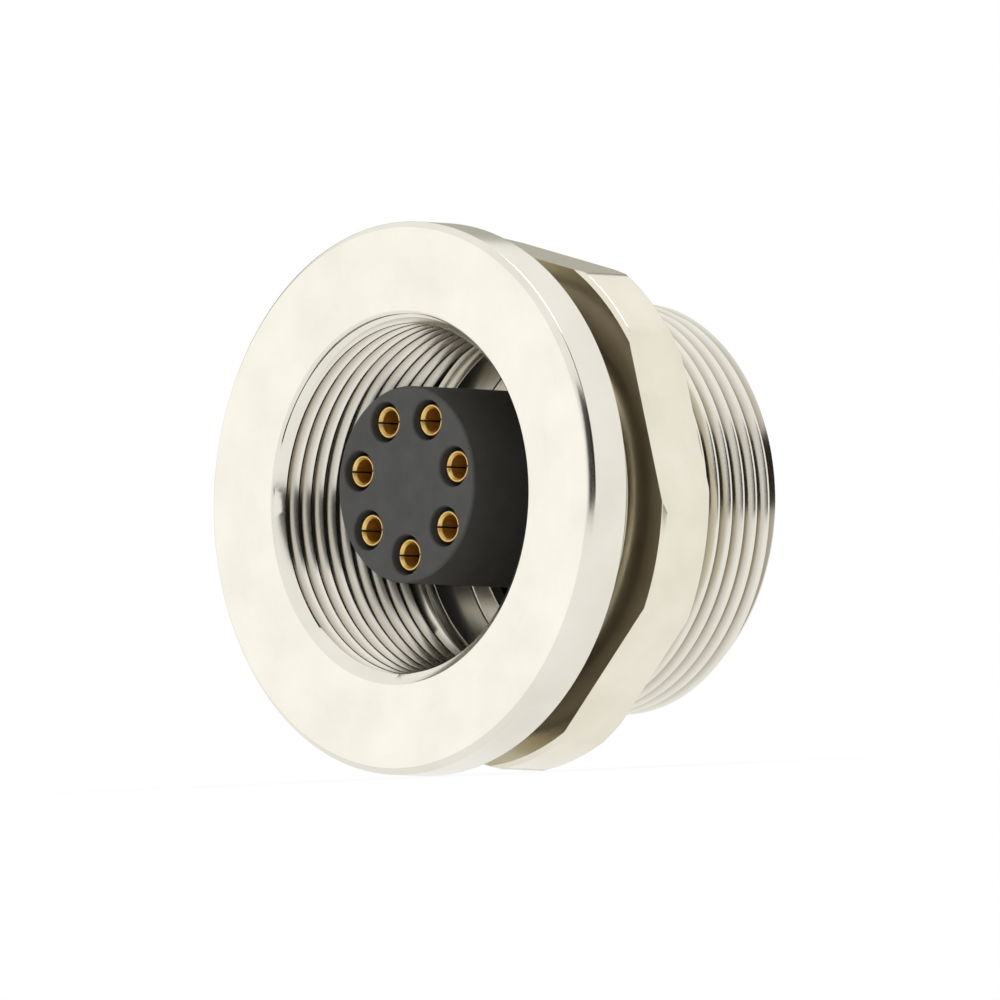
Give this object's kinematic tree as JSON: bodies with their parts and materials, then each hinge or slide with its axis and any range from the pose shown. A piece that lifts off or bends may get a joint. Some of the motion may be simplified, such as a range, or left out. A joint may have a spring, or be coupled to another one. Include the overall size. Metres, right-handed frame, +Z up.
{
  "type": "circular connector panel socket",
  "caption": "Round-flanged panel socket with a threaded mating bore, a raised insert with split socket contacts, solder cups behind and a hexagonal fixing nut.",
  "frame": {"origin": "centre of the flange's rear face, where the panel is clamped", "axes": "+Y along the connector's axis from the mating face to the solder cups, +Z up, towards the raised side of the insert"},
  "size_m": [0.024, 0.0179, 0.024],
  "materials": {
    "nickel_shell": "bright nickel plate over turned brass",
    "nickel_nut": "bright nickel plate over milled brass",
    "seal_rubber": "black moulded rubber",
    "insert_plastic": "fine grey moulded plastic",
    "cap_plastic": "fine grey moulded plastic",
    "ring_steel": "bare spring steel",
    "contact_gold": "gold plate over turned brass"
  },
  "bodies": {
    "connector": {"shell": "nickel_shell", "panel_o_ring": "seal_rubber", "front_insulator": "insert_plastic", "rear_insulator": "cap_plastic", "insert_gasket": "seal_rubber", "retaining_ring": "ring_steel", "contact_1": "contact_gold", "contact_2": "contact_gold", "contact_3": "contact_gold", "contact_4": "contact_gold", "contact_5": "contact_gold", "contact_6": "contact_gold", "contact_7": "contact_gold"},
    "nut": {"hex_nut": "nickel_nut"}
  },
  "joints": [
    {"name": "nut_travel", "type": "slide", "parent": "connector", "child": "nut", "axis": [0, 1, 0], "range_m": [-0.0015, 0.006]}
  ]
}
